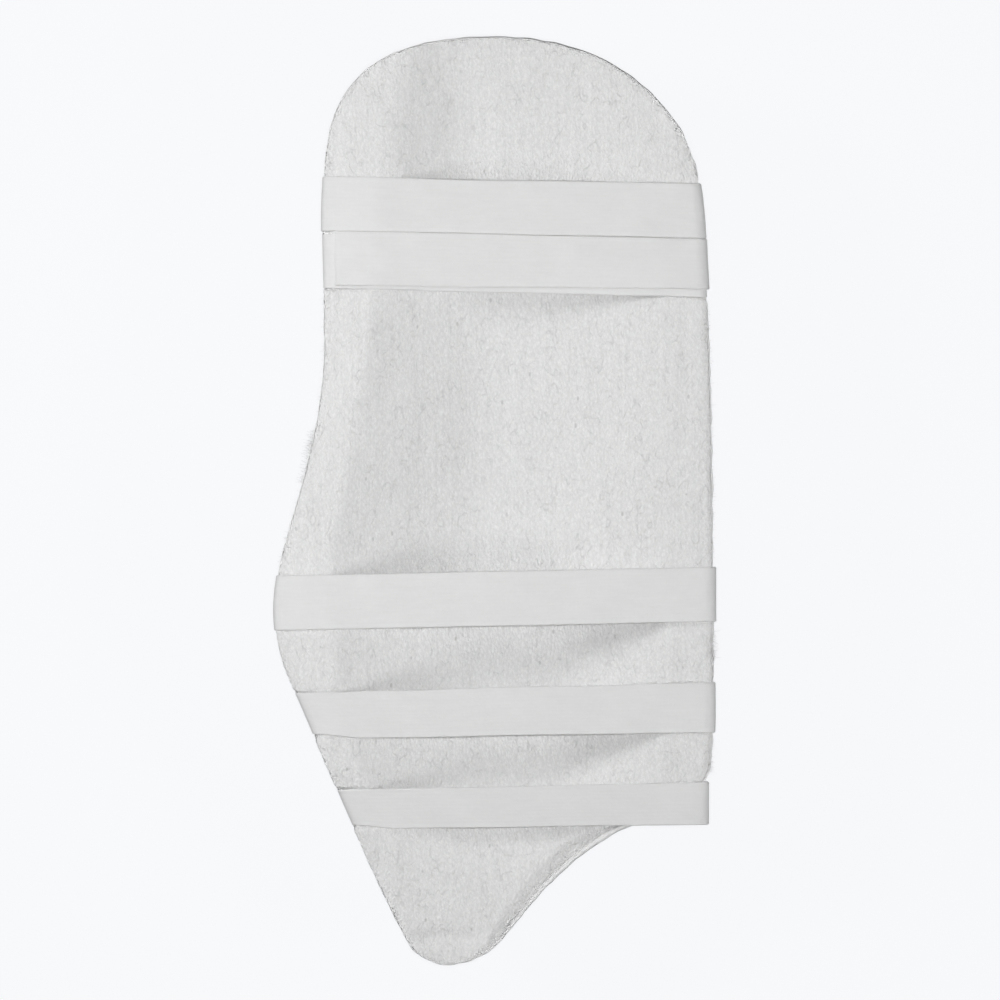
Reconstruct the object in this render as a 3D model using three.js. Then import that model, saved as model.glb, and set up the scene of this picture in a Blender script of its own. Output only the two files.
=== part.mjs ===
// A padded cricket thigh guard lying on its outer face, towelling side up, with elastic straps round it.
// Millimetres: X across the pad, Y up the leg, Z up. The origin is on the floor under the middle.
import * as THREE from "three";

// Driving dimensions
const liningThickness = 2.5;
const strapThickness = 1.4;
const clearance = 0.4; // left between neighbouring pieces
const rimThickness = 12; // padding and lining together at the edge
const padThickness = 26; // padding and lining together away from the edge, before the floor flattens it
const rimRun = 34; // distance over which the padding thins towards the edge
const rollDepth = 5; // how far the rounded edge reaches in on the outer face
const rollDrop = 0.6; // the rolled edge lies this much below the towelling
const liningBevel = 0.9; // rounding of the towelling's top edge
const underSlant = 1.5; // extra height for a strap's clearance where the outer face slopes
const borderFall = { drop: 1.8, run: 25 }; // how the left border falls away from its fold
const softFold = { left: 0.2, right: 0.14 }; // rounding of the fold between each wall and its border

// Mesh density
const columnsAcross = 16;
const rowsAlong = 32;
const quarterSteps = 3; // in each quarter of the rolled edge
const spanSteps = 24; // in each span of the outline
const faceSteps = 60; // tested under each strap
const frontShares = [0.05, 0.1, 0.16, 0.24, 0.42, 0.6, 0.78, 0.86, 0.92, 0.96]; // along a strap's front
const tuckShares = [0.12, 0.35, 0.65, 1]; // along a strap's end on the outer face
const widthShares = [0.5, 0, -0.5]; // across a strap, from its upper edge to its lower edge

// The pad's outline, clockwise: a point, the direction of travel in degrees, and the width of rolled edge
// that shows beside the towelling.
const outlineStations = [
  { name: "crown", x: -1.4, y: 211.2, heading: 0, roll: 2.8 },
  { name: "rightBrow", x: 61.8, y: 193.4, heading: -37, roll: 2.6 },
  { name: "rightTemple", x: 88.5, y: 160, heading: -69, roll: 2.4 },
  { name: "rightSideTop", x: 96.6, y: 106, heading: -87, roll: 2.4 },
  { name: "rightSide", x: 99.8, y: -60, heading: -90, roll: 2.4 },
  { name: "rightSideLow", x: 98.9, y: -112, heading: -95, roll: 2.4 },
  { name: "rightCorner", x: 94, y: -130, heading: -127, roll: 2.6 },
  { name: "notch", x: 54.5, y: -151.5, heading: -151, roll: 3.4 },
  { name: "toeRightSide", x: 18.2, y: -181.8, heading: -131, roll: 3.6 },
  { name: "toeRight", x: 4.8, y: -198, heading: -129, roll: 2.6 },
  { name: "toe", x: -21, y: -211.2, heading: -180, roll: 1.4 },
  { name: "toeLeft", x: -39.5, y: -199.5, heading: -242, roll: 1.2 },
  { name: "hipLow", x: -92.5, y: -83, heading: -246, roll: 1.2 },
  { name: "hip", x: -99.8, y: -50, heading: -270, roll: 1.2 },
  { name: "hipHigh", x: -89, y: 2.5, heading: -286, roll: 1.2 },
  { name: "flank", x: -77.2, y: 72, heading: -270, roll: 1.2 },
  { name: "leftTemple", x: -75.6, y: 166.1, heading: -280, roll: 1.6 },
  { name: "leftBrow", x: -52.3, y: 200.2, heading: -331, roll: 2.4 },
];

// The inner face from crown to toe: heights of its floor and borders, and across X the fold where each
// border ends and the foot where each wall meets the floor.
const sections = [
  { y: 211, floor: 32, left: { rim: 37, fold: -36, foot: 2 }, right: { rim: 34, fold: 80, foot: 25 } },
  { y: 177, floor: 30.5, left: { rim: 38.5, fold: -41, foot: 3 }, right: { rim: 35, fold: 79, foot: 24 } },
  { y: 121, floor: 28.5, left: { rim: 39, fold: -51, foot: 10 }, right: { rim: 36, fold: 78, foot: 25 } },
  { y: 37, floor: 21.5, left: { rim: 40.5, fold: -62, foot: 22 }, right: { rim: 37, fold: 79, foot: 25 } },
  { y: -45, floor: 21.5, left: { rim: 40.5, fold: -75, foot: 18 }, right: { rim: 37, fold: 79, foot: 22 } },
  { y: -109, floor: 20.5, left: { rim: 38, fold: -66, foot: 8 }, right: { rim: 36, fold: 77, foot: 18 } },
  { y: -130, floor: 21.5, left: { rim: 35.5, fold: -58, foot: 4 }, right: { rim: 35, fold: 68, foot: 16 } },
  { y: -154, floor: 27.5, left: { rim: 32.5, fold: -52, foot: -12 }, right: { rim: 33, fold: 44, foot: 12 } },
  { y: -173, floor: 29, left: { rim: 30.8, fold: -46, foot: -22 }, right: { rim: 33, fold: 22, foot: 6 } },
  { y: -211, floor: 29, left: { rim: 30, fold: -36, foot: -26 }, right: { rim: 30, fold: -8, foot: -20 } },
];

// The straps: at each fold the centre line, the width and how far the end runs in on the outer face. One has
// a fold that stands free of the pad, and a doubled one has an upper layer with a free end.
const straps = [
  {
    name: "upper_waist_strap",
    left: { y: 135.2, width: 25, tuck: 36 },
    right: { y: 132, width: 25, tuck: 30 },
  },
  {
    name: "lower_waist_strap",
    left: { y: 108.9, width: 25, tuck: 36 },
    right: { y: 103.9, width: 23, tuck: 30 },
    over: { left: { y: 109.8 }, right: { y: 107.6 }, endX: -72.3 },
  },
  {
    name: "upper_thigh_strap",
    left: { y: -46.6, width: 25, tuck: 36 },
    right: { y: -42.7, width: 25, tuck: 30 },
  },
  {
    name: "middle_thigh_strap",
    left: { y: -97.9, width: 21, tuck: 34 },
    right: { y: -94.1, width: 23, tuck: 30 },
  },
  {
    name: "lower_thigh_strap",
    left: { y: -140.6, width: 18, tuck: 28 },
    right: { y: -137.8, width: 19.5, tuck: 42, freeEdge: { x: 95.6, nx: 1, roll: 1 } },
  },
];

const surfaces = {
  cover: new THREE.MeshStandardMaterial({ color: 0xebecee, roughness: 0.75, metalness: 0 }),
  towelling: new THREE.MeshStandardMaterial({ color: 0xe6e7ea, roughness: 0.95, metalness: 0 }),
  elastic: new THREE.MeshStandardMaterial({ color: 0xe2e4e8, roughness: 0.8, metalness: 0 }),
};

const radians = THREE.MathUtils.degToRad;
const clamp = THREE.MathUtils.clamp;
const lerp = THREE.MathUtils.lerp;

// Points along one span of the outline, with the way out of the pad and the rolled edge at each.
function spanPoints(from, to) {
  const turn = radians(((((to.heading - from.heading) % 360) + 540) % 360) - 180);
  const reach = Math.hypot(to.x - from.x, to.y - from.y) / (3 * Math.cos(turn / 4) ** 2);
  const ahead = (station, distance) => {
    const angle = radians(station.heading);
    return new THREE.Vector2(station.x + distance * Math.cos(angle), station.y + distance * Math.sin(angle));
  };
  const handles = [ahead(from, 0), ahead(from, reach), ahead(to, -reach), ahead(to, 0)];
  const curve = new THREE.CubicBezierCurve(...handles);
  return Array.from({ length: spanSteps }, (_, i) => {
    const t = i / spanSteps;
    const p = curve.getPoint(t);
    const d = curve.getTangent(t);
    return { x: p.x, y: p.y, nx: -d.y, ny: d.x, roll: lerp(from.roll, to.roll, t) };
  });
}

const outline = outlineStations.flatMap((station, i) =>
  spanPoints(station, outlineStations[(i + 1) % outlineStations.length]),
);

// The stretch of outline from one station clockwise to another, as points at equal distances.
function stretch(fromName, toName, count) {
  const at = (name) => outlineStations.findIndex((s) => s.name === name) * spanSteps;
  const length = (at(toName) - at(fromName) + outline.length) % outline.length;
  const points = Array.from({ length: length + 1 }, (_, i) => outline[(at(fromName) + i) % outline.length]);
  const run = [0];
  for (let i = 1; i < points.length; i++)
    run.push(run[i - 1] + Math.hypot(points[i].x - points[i - 1].x, points[i].y - points[i - 1].y));
  return Array.from({ length: count + 1 }, (_, i) => {
    const s = (run.at(-1) * i) / count;
    const k = clamp(run.findIndex((r) => r >= s - 1e-9) - 1, 0, points.length - 2);
    const t = (s - run[k]) / (run[k + 1] - run[k]);
    const blend = (key) => lerp(points[k][key], points[k + 1][key], t);
    return { x: blend("x"), y: blend("y"), nx: blend("nx"), ny: blend("ny"), roll: blend("roll") };
  });
}

// The four sides of the pad's grid, each running left to right or bottom to top.
const sides = {
  bottom: stretch("rightCorner", "toeLeft", columnsAcross).reverse(),
  right: stretch("rightTemple", "rightCorner", rowsAlong).reverse(),
  top: stretch("leftTemple", "rightTemple", columnsAcross),
  left: stretch("toeLeft", "leftTemple", rowsAlong),
};

// The same sides as one loop, anticlockwise from above.
const rim = [
  ...sides.bottom.slice(0, -1),
  ...sides.right.slice(0, -1),
  ...sides.top.slice(1).reverse(),
  ...sides.left.slice(1).reverse(),
];

// The point a given distance in from the outline.
const drawIn = (p, inset) => new THREE.Vector2(p.x - p.nx * inset, p.y - p.ny * inset);

// A grid of points that fills the outline drawn in by a given inset, blended from its four sides.
function fillGrid(insetOf) {
  const drawnSide = (side) => side.map((p) => drawIn(p, insetOf(p)));
  const [b, r, t, l] = [sides.bottom, sides.right, sides.top, sides.left].map(drawnSide);
  const rows = [];
  for (let j = 0; j <= rowsAlong; j++) {
    const v = j / rowsAlong;
    const row = [];
    for (let i = 0; i <= columnsAcross; i++) {
      const u = i / columnsAcross;
      const coordinate = (k) =>
        lerp(b[i][k], t[i][k], v) + lerp(l[j][k], r[j][k], u) -
        lerp(lerp(b[0][k], b[columnsAcross][k], u), lerp(t[0][k], t[columnsAcross][k], u), v);
      row.push(new THREE.Vector2(coordinate("x"), coordinate("y")));
    }
    rows.push(row);
  }
  return rows;
}

// A column of the section table anywhere up the leg, by a curve through the rows that doesn't overshoot.
function sectionValue(y, column) {
  const at = clamp(sections.findIndex((s) => s.y < y) - 1, 0, sections.length - 2);
  const k = y <= sections.at(-1).y ? sections.length - 2 : at;
  const value = (i) => column(sections[i]);
  const slope = (i) => (value(i + 1) - value(i)) / (sections[i + 1].y - sections[i].y);
  const tangent = (i) => {
    if (i === 0 || i === sections.length - 1) return slope(i === 0 ? 0 : i - 1);
    const [a, b] = [slope(i - 1), slope(i)];
    return a * b <= 0 ? 0 : (2 * a * b) / (a + b);
  };
  const gap = sections[k + 1].y - sections[k].y;
  const t = clamp((y - sections[k].y) / gap, 0, 1);
  return (
    (1 + 2 * t) * (1 - t) ** 2 * value(k) + t * (1 - t) ** 2 * gap * tangent(k) +
    t ** 2 * (3 - 2 * t) * value(k + 1) + t ** 2 * (t - 1) * gap * tangent(k + 1)
  );
}

// The smaller of a value and one, with the corner between them rounded.
function softCap(value, rounding) {
  const h = clamp(0.5 + (1 - value) / (2 * rounding), 0, 1);
  return lerp(1, value, h) - rounding * h * (1 - h);
}

// Height of the towelling face: a flat floor, a parabolic wall each side and a border past each fold, level
// on the right and falling away a little on the left.
function faceHeight(x, y) {
  const floor = sectionValue(y, (s) => s.floor);
  const wall = (side) => {
    const [rim, fold, foot] = ["rim", "fold", "foot"].map((key) => sectionValue(y, (s) => s[side][key]));
    const rise = Math.max(0, (x - foot) / (fold - foot));
    return (rim - floor) * softCap(rise ** 2, softFold[side]);
  };
  const pastFold = Math.max(0, sectionValue(y, (s) => s.left.fold) - x) / borderFall.run;
  return floor + wall("left") + wall("right") - borderFall.drop * Math.min(pastFold, 1.2) ** 2;
}

// How far a point lies inside the outline.
function depthInside(x, y) {
  return Math.min(...outline.map((p) => Math.hypot(p.x - x, p.y - y)));
}

// Height of the outer face: the towelling face less the padding, which thins to the edge, flat on the floor.
function backHeight(x, y) {
  const thin = 1 - clamp((depthInside(x, y) - rollDepth) / rimRun, 0, 1);
  const thickness = lerp(padThickness, rimThickness, thin ** 2);
  return Math.max(0, faceHeight(x, y) - thickness);
}

// A mesh from points and four-cornered faces.
function solidMesh(name, material, points, faces) {
  const geometry = new THREE.BufferGeometry().setFromPoints(points);
  geometry.setIndex(faces.flatMap(([a, b, c, d]) => [a, b, c, a, c, d]));
  geometry.computeVertexNormals();
  const mesh = new THREE.Mesh(geometry, material);
  mesh.name = name;
  return mesh;
}

// A closed solid between an upper and a lower grid, joined round their borders through a list of loops.
function quiltSolid(name, material, upper, loops, lower) {
  const width = columnsAcross + 1;
  const points = [...upper.flat(), ...loops.flat(), ...lower.flat()];
  const lowerStart = points.length - lower.flat().length;
  const border = [];
  for (let i = 0; i < columnsAcross; i++) border.push(i);
  for (let j = 0; j < rowsAlong; j++) border.push(j * width + columnsAcross);
  for (let i = columnsAcross; i > 0; i--) border.push(rowsAlong * width + i);
  for (let j = rowsAlong; j > 0; j--) border.push(j * width);
  const rings = [
    border,
    ...loops.map((loop, n) => loop.map((_, k) => upper.flat().length + n * rim.length + k)),
    border.map((k) => k + lowerStart),
  ];
  const faces = [];
  for (let j = 0; j < rowsAlong; j++)
    for (let i = 0; i < columnsAcross; i++) {
      const k = j * width + i;
      faces.push([k, k + 1, k + width + 1, k + width]);
      faces.push([k, k + width, k + width + 1, k + 1].map((c) => c + lowerStart));
    }
  for (let n = 0; n + 1 < rings.length; n++)
    for (let k = 0; k < rim.length; k++) {
      const next = (k + 1) % rim.length;
      faces.push([rings[n][k], rings[n + 1][k], rings[n + 1][next], rings[n][next]]);
    }
  return solidMesh(name, material, points, faces);
}

// A grid or a loop of points at the heights of a surface.
const raise = (p, height) => new THREE.Vector3(p.x, p.y, height(p.x, p.y));
const raiseGrid = (grid, height) => grid.map((row) => row.map((p) => raise(p, height)));

// Inset and height of the rolled edge at an angle from its top, with an offset for a strap round it.
function rollAt(angle, roll, top, bottom, offset) {
  const above = angle <= Math.PI / 2;
  const reach = above ? roll : rollDepth;
  const middle = (top + bottom) / 2;
  const half = (top - bottom) / 2 + (above ? offset : underSlant * offset);
  return { inset: reach - (reach + offset) * Math.sin(angle), z: middle + half * Math.cos(angle) };
}

// The padded body: a shallow seat for the towelling, the rolled edge round it and the plain outer face.
function paddedCover() {
  const seatHeight = (x, y) => faceHeight(x, y) - liningThickness - clearance;
  const seat = raiseGrid(fillGrid((p) => p.roll), seatHeight);
  const outer = raiseGrid(fillGrid(() => rollDepth), backHeight);
  const tops = rim.map((p) => raise(drawIn(p, p.roll), faceHeight).z - rollDrop);
  const bottoms = rim.map((p) => raise(drawIn(p, rollDepth), backHeight).z);
  const loops = [];
  for (let n = 0; n < 2 * quarterSteps; n++) {
    const angle = (Math.PI * n) / (2 * quarterSteps);
    const loop = rim.map((p, k) => {
      const { inset, z } = rollAt(angle, p.roll, tops[k], bottoms[k], 0);
      return raise(drawIn(p, inset), () => z);
    });
    loops.push(loop);
  }
  return quiltSolid("padded_cover", surfaces.cover, seat, loops, outer);
}

// The towelling: an even layer in the seat, its top edge slightly rounded.
function towelLining() {
  const inset = (p) => p.roll + clearance;
  const upper = raiseGrid(fillGrid((p) => inset(p) + liningBevel), faceHeight);
  const shoulder = rim.map((p) => raise(drawIn(p, inset(p)), (x, y) => faceHeight(x, y) - liningBevel));
  const lower = raiseGrid(fillGrid(inset), (x, y) => faceHeight(x, y) - liningThickness);
  return quiltSolid("towel_lining", surfaces.towelling, upper, [shoulder], lower);
}

// Where a line across the pad meets the outline on one side, with the way out and the rolled edge there.
function edgeAt(y, side) {
  const crossings = outline.flatMap((p, i) => {
    const q = outline[(i + 1) % outline.length];
    if ((p.y - y) * (q.y - y) > 0 || p.y === q.y) return [];
    const t = (y - p.y) / (q.y - p.y);
    return [{ x: lerp(p.x, q.x, t), nx: lerp(p.nx, q.nx, t), roll: lerp(p.roll, q.roll, t) }];
  });
  const outermost = side === "left" ? (a, b) => b.x < a.x : (a, b) => b.x > a.x;
  return crossings.reduce((a, b) => (outermost(a, b) ? b : a));
}

// The top line of a cord drawn tight over a row of points.
function tautLine(points) {
  const hull = [];
  for (const p of points) {
    while (hull.length > 1) {
      const [a, b] = hull.slice(-2);
      if ((b.x - a.x) * (p.z - a.z) - (b.z - a.z) * (p.x - a.x) < 0) break;
      hull.pop();
    }
    hull.push(p);
  }
  return (x) => {
    const k = clamp(hull.findIndex((p) => p.x >= x) - 1, 0, hull.length - 2);
    return lerp(hull[k].z, hull[k + 1].z, (x - hull[k].x) / (hull[k + 1].x - hull[k].x));
  };
}

// One line along a strap at an offset from the pad: up from the outer face on the left, over the front and
// down on the right. The share places it across the strap's width.
function strapLine(strap, share, offset, layer) {
  const bySide = (make) => ({ left: make("left"), right: make("right") });
  const foldY = bySide((side) => layer[side].y + share * strap[side].width);
  const edges = bySide((side) => strap[side].freeEdge || edgeAt(foldY[side], side));
  const xAt = (side, inset) => edges[side].x - inset / edges[side].nx;
  const ends = bySide((side) => xAt(side, edges[side].roll));
  const yAt = (x) => lerp(foldY.left, foldY.right, (x - ends.left) / (ends.right - ends.left));
  const face = Array.from({ length: faceSteps + 1 }, (_, i) => {
    const x = lerp(ends.left, ends.right, i / faceSteps);
    return { x, z: faceHeight(x, yAt(x)) + offset };
  });
  const taut = tautLine(face);
  const wrap = bySide((side) => {
    const top = faceHeight(ends[side], foldY[side]);
    const bottom = backHeight(xAt(side, rollDepth), foldY[side]);
    const steps = 4 * quarterSteps;
    return Array.from({ length: steps + 1 }, (_, n) => {
      const { inset, z } = rollAt((Math.PI * n) / steps, edges[side].roll, top, bottom, offset);
      return new THREE.Vector3(xAt(side, inset), foldY[side], z);
    });
  });
  const tuck = bySide((side) => {
    const middle = strap[side].freeEdge || edgeAt(layer[side].y, side);
    const end = middle.x - strap[side].tuck * Math.sign(middle.nx);
    return tuckShares.map((t) => {
      const x = lerp(xAt(side, rollDepth), end, t);
      return new THREE.Vector3(x, foldY[side], backHeight(x, foldY[side]) - underSlant * offset);
    });
  });
  const frontAt = (x) => new THREE.Vector3(x, yAt(x), taut(x));
  return {
    left: [...wrap.left, ...tuck.left].reverse(),
    front: frontShares.map((t) => frontAt(lerp(ends.left, ends.right, t))),
    right: [...wrap.right, ...tuck.right],
    frontAt,
  };
}

// A band of even thickness about lines that run side by side along it.
function bandSolid(name, lines) {
  const count = lines[0].length;
  const points = [];
  lines.forEach((line) =>
    line.forEach((p, k) => {
      const ahead = line[Math.min(k + 1, count - 1)];
      const behind = line[Math.max(k - 1, 0)];
      const out = new THREE.Vector3(behind.z - ahead.z, 0, ahead.x - behind.x);
      out.setLength(strapThickness / 2);
      points.push(p.clone().add(out), p.clone().sub(out));
    }),
  );
  const outer = (k, j) => 2 * (j * count + k);
  const inner = (k, j) => outer(k, j) + 1;
  const last = lines.length - 1;
  const faces = [];
  for (let k = 0; k + 1 < count; k++) {
    for (let j = 0; j < last; j++) {
      faces.push([outer(k, j), outer(k, j + 1), outer(k + 1, j + 1), outer(k + 1, j)]);
      faces.push([inner(k, j), inner(k + 1, j), inner(k + 1, j + 1), inner(k, j + 1)]);
    }
    faces.push([outer(k, 0), outer(k + 1, 0), inner(k + 1, 0), inner(k, 0)]);
    faces.push([outer(k, last), inner(k, last), inner(k + 1, last), outer(k + 1, last)]);
  }
  for (let j = 0; j < last; j++) {
    const end = count - 1;
    faces.push([outer(0, j), inner(0, j), inner(0, j + 1), outer(0, j + 1)]);
    faces.push([outer(end, j), outer(end, j + 1), inner(end, j + 1), inner(end, j)]);
  }
  return solidMesh(name, surfaces.elastic, points, faces);
}

// The half turn that joins the under layer of a doubled strap to its upper layer.
function halfTurn(from, to) {
  const middle = from.clone().lerp(to, 0.5);
  const arm = from.clone().sub(middle);
  return [0.25, 0.5, 0.75].map((t) => {
    const angle = Math.PI * t;
    const along = new THREE.Vector3(arm.z, 0, -arm.x).multiplyScalar(Math.sin(angle));
    return middle.clone().addScaledVector(arm, Math.cos(angle)).add(along);
  });
}

// A strap as one band. A doubled one turns back on the outer face and runs over itself to its free end.
function elasticStrap(strap) {
  const offset = clearance + strapThickness / 2;
  const lines = widthShares.map((share) => {
    const under = strapLine(strap, share, offset, strap);
    const path = [...under.left, ...under.front, ...under.right];
    if (!strap.over) return path;
    const over = strapLine(strap, share, offset + clearance + strapThickness, strap.over);
    const back = [...over.right].reverse();
    const front = over.front.filter((p) => p.x > strap.over.endX + strapThickness).reverse();
    return [...path, ...halfTurn(path.at(-1), back[0]), ...back, ...front, over.frontAt(strap.over.endX)];
  });
  return bandSolid(strap.name, lines);
}

const group = new THREE.Group();
group.name = "cricket_thigh_pad";
group.add(paddedCover(), towelLining(), ...straps.map(elasticStrap));

export default group;
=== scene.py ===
import bpy
import numpy as np
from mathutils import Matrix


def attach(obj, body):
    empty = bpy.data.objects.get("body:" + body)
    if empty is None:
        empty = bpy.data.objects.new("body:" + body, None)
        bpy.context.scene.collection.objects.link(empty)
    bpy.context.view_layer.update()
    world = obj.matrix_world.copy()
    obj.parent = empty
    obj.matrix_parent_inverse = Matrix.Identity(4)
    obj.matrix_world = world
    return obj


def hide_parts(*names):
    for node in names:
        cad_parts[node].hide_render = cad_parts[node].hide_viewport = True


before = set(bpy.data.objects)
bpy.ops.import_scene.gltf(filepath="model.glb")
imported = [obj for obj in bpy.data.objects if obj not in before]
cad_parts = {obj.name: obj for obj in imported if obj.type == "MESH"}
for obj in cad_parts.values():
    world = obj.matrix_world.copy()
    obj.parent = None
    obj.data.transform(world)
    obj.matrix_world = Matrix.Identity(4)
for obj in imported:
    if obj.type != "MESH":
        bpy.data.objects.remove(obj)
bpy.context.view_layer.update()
mm = 0.001  # shapes are worked out in millimetres and turned into metres when a mesh is made
print("frame:", len(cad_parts), "solids loaded")

# the pad's form, shared by all the pieces
padForm = {
    # outline, clockwise: name, x, y, heading in degrees, rolled edge that shows, drop of the border
    "stations": [
        ("crown", -1.4, 211.2, 0, 1.0, 0.3),
        ("rightBrow", 61.8, 193.4, -37, 0.6, 0.3),
        ("rightTemple", 89.1, 160.2, -69, 0.45, 0.5),
        ("rightSideTop", 96.6, 106, -87, 0.9, 1.6),
        ("rightSide", 99.8, -60, -90, 0.9, 2.0),
        ("rightSideLow", 99.7, -112, -95, 0.9, 2.0),
        ("rightCorner", 94.6, -130.4, -127, 1.4, 1.5),
        ("notch", 54.8, -152, -151, 2.8, 0.3),
        ("toeRightSide", 18.6, -182.1, -131, 2.0, 0.3),
        ("toeRight", 5.3, -198.4, -129, 1.4, 0.4),
        ("toe", -21, -211.9, -180, 0.7, 0.5),
        ("toeLeft", -40, -200, -242, 0.4, 0.5),
        ("hipLow", -92.6, -83.1, -246, 0.4, 0.5),
        ("hip", -99.8, -50, -270, 0.4, 0.5),
        ("hipHigh", -88.6, 2.5, -286, 0.4, 0.5),
        ("flank", -77.2, 72, -270, 0.4, 0.5),
        ("leftTemple", -75.3, 166.1, -280, 0.5, 0.5),
        ("leftBrow", -52.3, 200.2, -331, 0.7, 0.4),
    ],
    # toe to crown: y, floor, then rim height, fold x and foot x of the left and of the right wall
    "sections": [
        (-211, 29, 30, -36, -26, 30, -8, -20),
        (-173, 29, 30.8, -46, -22, 33, 22, 6),
        (-154, 27.5, 32.5, -52, -18, 33, 44, 12),
        (-130, 21.5, 35.5, -58, -10, 35, 68, 16),
        (-109, 20.5, 38, -66, -8, 36, 77, 18),
        (-45, 21.5, 40.5, -75, -6, 37, 79, 22),
        (37, 21.5, 40.5, -62, -2, 37, 79, 25),
        (121, 27.5, 39, -51, -8, 36, 78, 25),
        (177, 28.5, 38.5, -44, -9, 35, 79, 16),
        (211, 31, 37, -38, -8, 34, 80, 25),
    ],
    "wallCurve": (0.6, 0.45),  # share of the left and of the right wall that is curved, from its foot
    "softFold": (0.08, 0.06),  # rounding of the fold at the top of the left and of the right wall
    "domeFold": 0.17,  # added rounding of the left fold in the domed end
    "domeRun": (95, 165),  # y over which that rounding comes in
    "borderFall": (3.0, 25, 1.2),  # how the left border falls away from its fold: drop, run, most runs
    "rollDepth": 5,  # how far the rounded edge reaches in on the outer face
    "rollDrop": 0.15,  # the rolled edge lies this much below the towelling's border
    "edgeRun": 3.6,  # the towelling turns down over this distance at its border
    "edgeStart": 0.02,  # share left out, so that the border is never upright
    "squareness": 0.4,  # below 1 the upper half of the rolled edge is squarer than a round
    "gutter": (5.5, 13),  # drop and run of the towelling beside the raised edge on the lobe's right
    "gutterAcross": (-14, 12),  # x over which the gutter comes in
    "gutterUp": (-158, -142),  # y over which it dies away
    "rimThickness": 12,  # of the padding at the edge
    "padThickness": 26,  # and away from it
    "rimRun": 34,  # distance over which the padding thins towards the edge
    "underSlant": 1.5,  # extra depth under a strap where the outer face slopes
    "spanSteps": 60,  # points in each span of the outline
}

# the straps: at each fold the centre line, the width, the run on the outer face and how far it presses in,
# then how far it sags over the hollow and how far the lower left corner is drawn up; endDrop lowers the
# upper corner of an end clear of the padding, freeX is a fold that stands free of the pad, and over is the
# upper layer of a doubled strap
strapForm = {
    "thickness": 1.1,
    "clearance": 0.25,
    "lineCount": 30,  # lines across a strap
    "lineCrowd": 0.7,  # how much closer they lie at its edges
    "chordPoints": 73,  # tested along each line over the hollow
    "foldPoints": 33,  # round each fold
    "tuckShares": (0.04, 1, 30),  # first, last and number of the points along an end
    "endRun": (0.3, 1),  # shares of an end over which its corner drops
    "turnPoints": 9,  # where a doubled strap turns back
    "cutPoints": 80,  # along its upper layer
    "spacing": 1.25,  # between points along a strap
    "smoothing": 4,  # rounds of averaging along it
    "selvedge": (0.09, 0.93, 0.035),  # extra thickness of the woven edges, where it peaks and its width
    "bevel": 0.4,  # rounded part of each edge
    "bevelLimit": 0.97,  # no edge is quite sharp
    "wander": (0.13, 80, 31),  # how far the edges stray from a straight line, wavelength and seed
    "cornerRun": 0.12,  # share of the front over which a corner is drawn up
    "foldReach": {"left": 1.2, "right": 2.4},  # rounding of the fold at the pad's sides
    "sides": (-90, 95),  # x at the two ends of the centre lines
    # dents, and the hold on the padding: x over which each dies away, and its soft edge from a strap's edge
    "dent": {"left": (-66, -40), "right": (52, 70), "edge": (-0.7, 0.8)},
    "hold": {"left": (-58, -34), "right": (44, 66), "edge": (0.5, 8)},
    "dentExtra": 0.3,  # pressed in further than the strap
    "bands": [
        {
            "name": "upper_waist_strap",
            "left": {"y": 135, "width": 25, "tuck": 36, "press": 0.75},
            "right": {"y": 131.8, "width": 25, "tuck": 30, "press": 0.4},
            "sag": 2.4,
        },
        {
            "name": "lower_waist_strap",
            "left": {"y": 108.9, "width": 25, "tuck": 36, "press": 1.35},
            "right": {"y": 103.9, "width": 23, "tuck": 30, "press": 1.5},
            "over": {"leftY": 110.2, "rightY": 107.6, "endX": -72.3},
            "sag": 2.4,
        },
        {
            "name": "upper_thigh_strap",
            "left": {"y": -46.6, "width": 25, "tuck": 36, "press": 0.5},
            "right": {"y": -42.7, "width": 25, "tuck": 30, "press": -0.2},
        },
        {
            "name": "middle_thigh_strap",
            "left": {"y": -97.9, "width": 21, "tuck": 34, "press": 1.3},
            "right": {"y": -94.1, "width": 23, "tuck": 30, "press": 0.6},
            "corner": 2.2,
        },
        {
            "name": "lower_thigh_strap",
            "left": {"y": -140.6, "width": 18, "tuck": 28, "press": 1.5, "endDrop": 2.0},
            "right": {"y": -137.8, "width": 19.5, "tuck": 42, "press": 0, "freeX": 96.7},
            "corner": 1.8,
        },
    ],
}


def blend(a, b, share):
    return a + (b - a) * share


def easeStep(low, high, value):
    # eased ramp: 0 below low, 1 above high
    t = np.clip((value - low) / (high - low), 0, 1)
    return t * t * (3 - 2 * t)


def unit(vectors):
    return vectors / np.maximum(np.linalg.norm(vectors, axis=-1, keepdims=True), 1e-9)


rippleCount = 18


def rumple(x, y, wave, seed):
    # sum of cosine ripples of about one wavelength in seeded directions, scaled to a spread of one
    rng = np.random.default_rng(seed)
    angle = rng.uniform(0, 2 * np.pi, rippleCount)
    size = 2 * np.pi / (wave * rng.uniform(0.7, 1.4, rippleCount))
    phase = rng.uniform(0, 2 * np.pi, rippleCount)
    total = np.zeros(np.broadcast(x, y).shape)
    for a, k, p in zip(angle, size, phase):
        total += np.cos(k * (x * np.cos(a) + y * np.sin(a)) + p)
    return total / np.sqrt(rippleCount / 2)


def runAlong(points):
    # distance run along a line of points, from its start
    hops = np.linalg.norm(np.diff(points[:, :2], axis=0), axis=1)
    return np.concatenate([[0], np.cumsum(hops)])


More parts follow.
